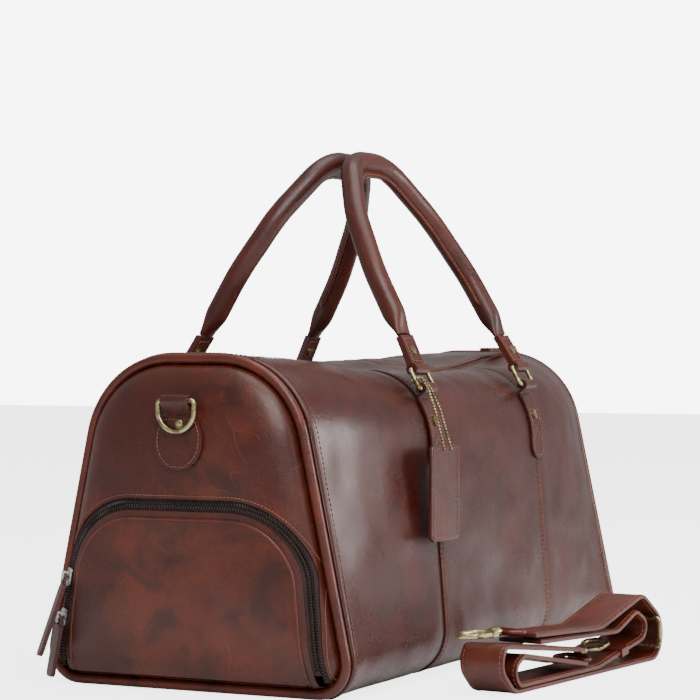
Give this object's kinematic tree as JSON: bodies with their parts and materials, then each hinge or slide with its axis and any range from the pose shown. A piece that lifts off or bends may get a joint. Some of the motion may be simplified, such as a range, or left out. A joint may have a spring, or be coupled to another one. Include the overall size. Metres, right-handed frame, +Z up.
{
  "type": "weekender bag",
  "caption": "Leather duffel bag with carry handles on rings, a zipped top, a zipped shoe compartment in one end, a swing tag and a folded shoulder strap.",
  "frame": {"origin": "middle of the bag's flat underside, on the surface it stands on", "axes": "+X along the bag away from the shoe compartment, -Y the front with the swing tag, +Z up"},
  "size_m": [0.6368, 0.3989, 0.44],
  "materials": {
    "body_leather": "pull-up leather, satin",
    "trim_leather": "pull-up leather edges and straps, satin",
    "strap_leather": "folded strap leather, satin",
    "antique_brass": "antique, brushed",
    "nickel": "polished nickel",
    "zip_tape": "woven tape with coil teeth",
    "lining_cloth": "plain twill",
    "base_board": "matt"
  },
  "bodies": {
    "root": {"front_panel_left": "body_leather", "front_panel_centre": "body_leather", "front_panel_right": "body_leather", "back_panel_left": "body_leather", "back_panel_centre": "body_leather", "back_panel_right": "body_leather", "base_panel": "body_leather", "base_stiffener_board": "base_board", "main_lining": "lining_cloth", "pocket_end_piping": "trim_leather", "plain_end_piping": "trim_leather", "plain_end_panel": "body_leather", "pocket_end_panel": "body_leather", "pocket_zip_outer_half": "zip_tape", "shoe_compartment_liner": "lining_cloth", "main_zip_end_runs": "zip_tape", "pocket_end_ring_tab": "trim_leather", "plain_end_ring_tab": "trim_leather", "front_handle_tabs": "trim_leather", "back_handle_tabs": "trim_leather", "handle_tab_rivets": "antique_brass"},
    "front_lip": {"front_top_panel": "body_leather", "front_zip_half": "zip_tape"},
    "back_lip": {"back_top_panel": "body_leather", "back_zip_half": "zip_tape"},
    "main_slider": {"main_zip_slider": "antique_brass"},
    "main_pull": {"main_zip_pull": "trim_leather"},
    "pocket_flap": {"pocket_flap_panel": "body_leather", "pocket_zip_inner_half": "zip_tape"},
    "pocket_upper_slider": {"pocket_upper_slider": "nickel"},
    "pocket_lower_slider": {"pocket_lower_slider": "nickel"},
    "pocket_upper_pull": {"pocket_upper_pull": "trim_leather"},
    "pocket_lower_pull": {"pocket_lower_pull": "trim_leather"},
    "front_rings": {"front_left_ring": "antique_brass", "front_right_ring": "antique_brass", "tag_chain_eye": "antique_brass"},
    "back_rings": {"back_left_ring": "antique_brass", "back_right_ring": "antique_brass"},
    "front_handle": {"front_handle": "trim_leather", "front_handle_ends": "trim_leather", "front_handle_rivets": "antique_brass"},
    "back_handle": {"back_handle": "trim_leather", "back_handle_ends": "trim_leather", "back_handle_rivets": "antique_brass"},
    "pocket_end_d_ring": {"pocket_end_d_ring": "antique_brass"},
    "plain_end_d_ring": {"plain_end_d_ring": "antique_brass"},
    "luggage_tag": {"luggage_tag": "trim_leather", "tag_ball_chain": "antique_brass"},
    "shoulder_strap": {"shoulder_strap_long": "strap_leather", "shoulder_strap_short": "strap_leather", "strap_keeper": "strap_leather", "snap_hook_loops": "antique_brass", "strap_buckle_frame": "antique_brass"},
    "buckle_prong": {"strap_buckle_prong": "antique_brass"},
    "first_snap_hook": {"first_snap_hook_body": "antique_brass"},
    "second_snap_hook": {"second_snap_hook_body": "antique_brass"},
    "first_hook_gate": {"first_snap_hook_gate": "antique_brass"},
    "second_hook_gate": {"second_snap_hook_gate": "antique_brass"}
  },
  "joints": [
    {"name": "front_lip_fold", "type": "hinge", "parent": "root", "child": "front_lip", "pos_m": [0, -0.076, 0.255], "axis": [1, 0, 0], "range_deg": [0, 55]},
    {"name": "back_lip_fold", "type": "hinge", "parent": "root", "child": "back_lip", "pos_m": [0, 0.076, 0.255], "axis": [-1, 0, 0], "range_deg": [0, 55]},
    {"name": "main_zip_travel", "type": "slide", "parent": "root", "child": "main_slider", "axis": [-1, 0, 0], "range_m": [0, 0.509]},
    {"name": "main_pull_swing", "type": "hinge", "parent": "main_slider", "child": "main_pull", "pos_m": [0.259, -0.04, 0.2657], "axis": [0, 1, 0], "range_deg": [0, 170]},
    {"name": "pocket_flap_fold", "type": "hinge", "parent": "root", "child": "pocket_flap", "pos_m": [-0.282, 0, 0.0102], "axis": [0, -1, 0], "range_deg": [0, 55]},
    {"name": "pocket_upper_slider_travel", "type": "slide", "parent": "pocket_flap", "child": "pocket_upper_slider", "axis": [0.0469, -0.1592, 0.9861], "range_m": [0, 0.014]},
    {"name": "pocket_lower_slider_travel", "type": "slide", "parent": "pocket_flap", "child": "pocket_lower_slider", "axis": [-0.0446, 0.1467, -0.9882], "range_m": [0, 0.018]},
    {"name": "pocket_upper_pull_swing", "type": "hinge", "parent": "pocket_upper_slider", "child": "pocket_upper_pull", "pos_m": [-0.29517, 0.1107, 0.08656], "axis": [0.691, 0.718, 0.083], "range_deg": [0, 70]},
    {"name": "pocket_lower_pull_swing", "type": "hinge", "parent": "pocket_lower_slider", "child": "pocket_lower_pull", "pos_m": [-0.29803, 0.11399, 0.05448], "axis": [0.5851, 0.8056, 0.0932], "range_deg": [0, 18]},
    {"name": "front_rings_swing", "type": "hinge", "parent": "root", "child": "front_rings", "pos_m": [0, -0.1185, 0.235], "axis": [1, 0, 0], "range_deg": [0, 60]},
    {"name": "front_handle_swing", "type": "hinge", "parent": "front_rings", "child": "front_handle", "pos_m": [0, -0.10981, 0.25076], "axis": [1, 0, 0], "range_deg": [0, 75]},
    {"name": "back_rings_swing", "type": "hinge", "parent": "root", "child": "back_rings", "pos_m": [0, 0.1185, 0.235], "axis": [-1, 0, 0], "range_deg": [0, 60]},
    {"name": "back_handle_swing", "type": "hinge", "parent": "back_rings", "child": "back_handle", "pos_m": [0, 0.10981, 0.25076], "axis": [-1, 0, 0], "range_deg": [0, 75]},
    {"name": "pocket_end_d_ring_swing", "type": "hinge", "parent": "root", "child": "pocket_end_d_ring", "pos_m": [-0.3105, 0, 0.228], "axis": [0, 1, 0], "range_deg": [0, 130]},
    {"name": "plain_end_d_ring_swing", "type": "hinge", "parent": "root", "child": "plain_end_d_ring", "pos_m": [0.3105, 0, 0.228], "axis": [0, -1, 0], "range_deg": [0, 130]},
    {"name": "tag_swing", "type": "hinge", "parent": "front_rings", "child": "luggage_tag", "pos_m": [-0.121, -0.12068, 0.24534], "axis": [-1, 0, 0], "range_deg": [0, 60]},
    {"name": "strap_slide_on_floor", "type": "slide", "parent": "root", "child": "shoulder_strap", "axis": [0, -1, 0], "range_m": [0, 0.25]},
    {"name": "buckle_prong_swing", "type": "hinge", "parent": "shoulder_strap", "child": "buckle_prong", "pos_m": [0.07014, -0.23644, 0.012], "axis": [0.095, 0.9955, 0], "range_deg": [0, 5]},
    {"name": "first_hook_swivel", "type": "hinge", "parent": "shoulder_strap", "child": "first_snap_hook", "pos_m": [-0.15573, -0.21489, 0.0462], "axis": [-0.9429, 0.333, 0], "range_deg": [-12, 12]},
    {"name": "first_hook_gate_swing", "type": "hinge", "parent": "first_snap_hook", "child": "first_hook_gate", "pos_m": [-0.1879, -0.21287, 0.0462], "axis": [0, 0, 1], "range_deg": [-20, 0], "stiffness_Nm_per_rad": 0.02, "springref_deg": 11.46},
    {"name": "second_hook_swivel", "type": "hinge", "parent": "shoulder_strap", "child": "second_snap_hook", "pos_m": [-0.05668, -0.22434, 0.0126], "axis": [0.9791, -0.095, 0.1797], "range_deg": [-12, 12]},
    {"name": "second_hook_gate_swing", "type": "hinge", "parent": "second_snap_hook", "child": "second_hook_gate", "pos_m": [-0.0255, -0.21853, 0.01817], "axis": [-0.1789, 0.0171, 0.9837], "range_deg": [-20, 0], "stiffness_Nm_per_rad": 0.02, "springref_deg": 11.46}
  ],
  "couplings": [
    {"joint": "tag_swing", "follows": "front_rings_swing", "ratio": 1}
  ]
}
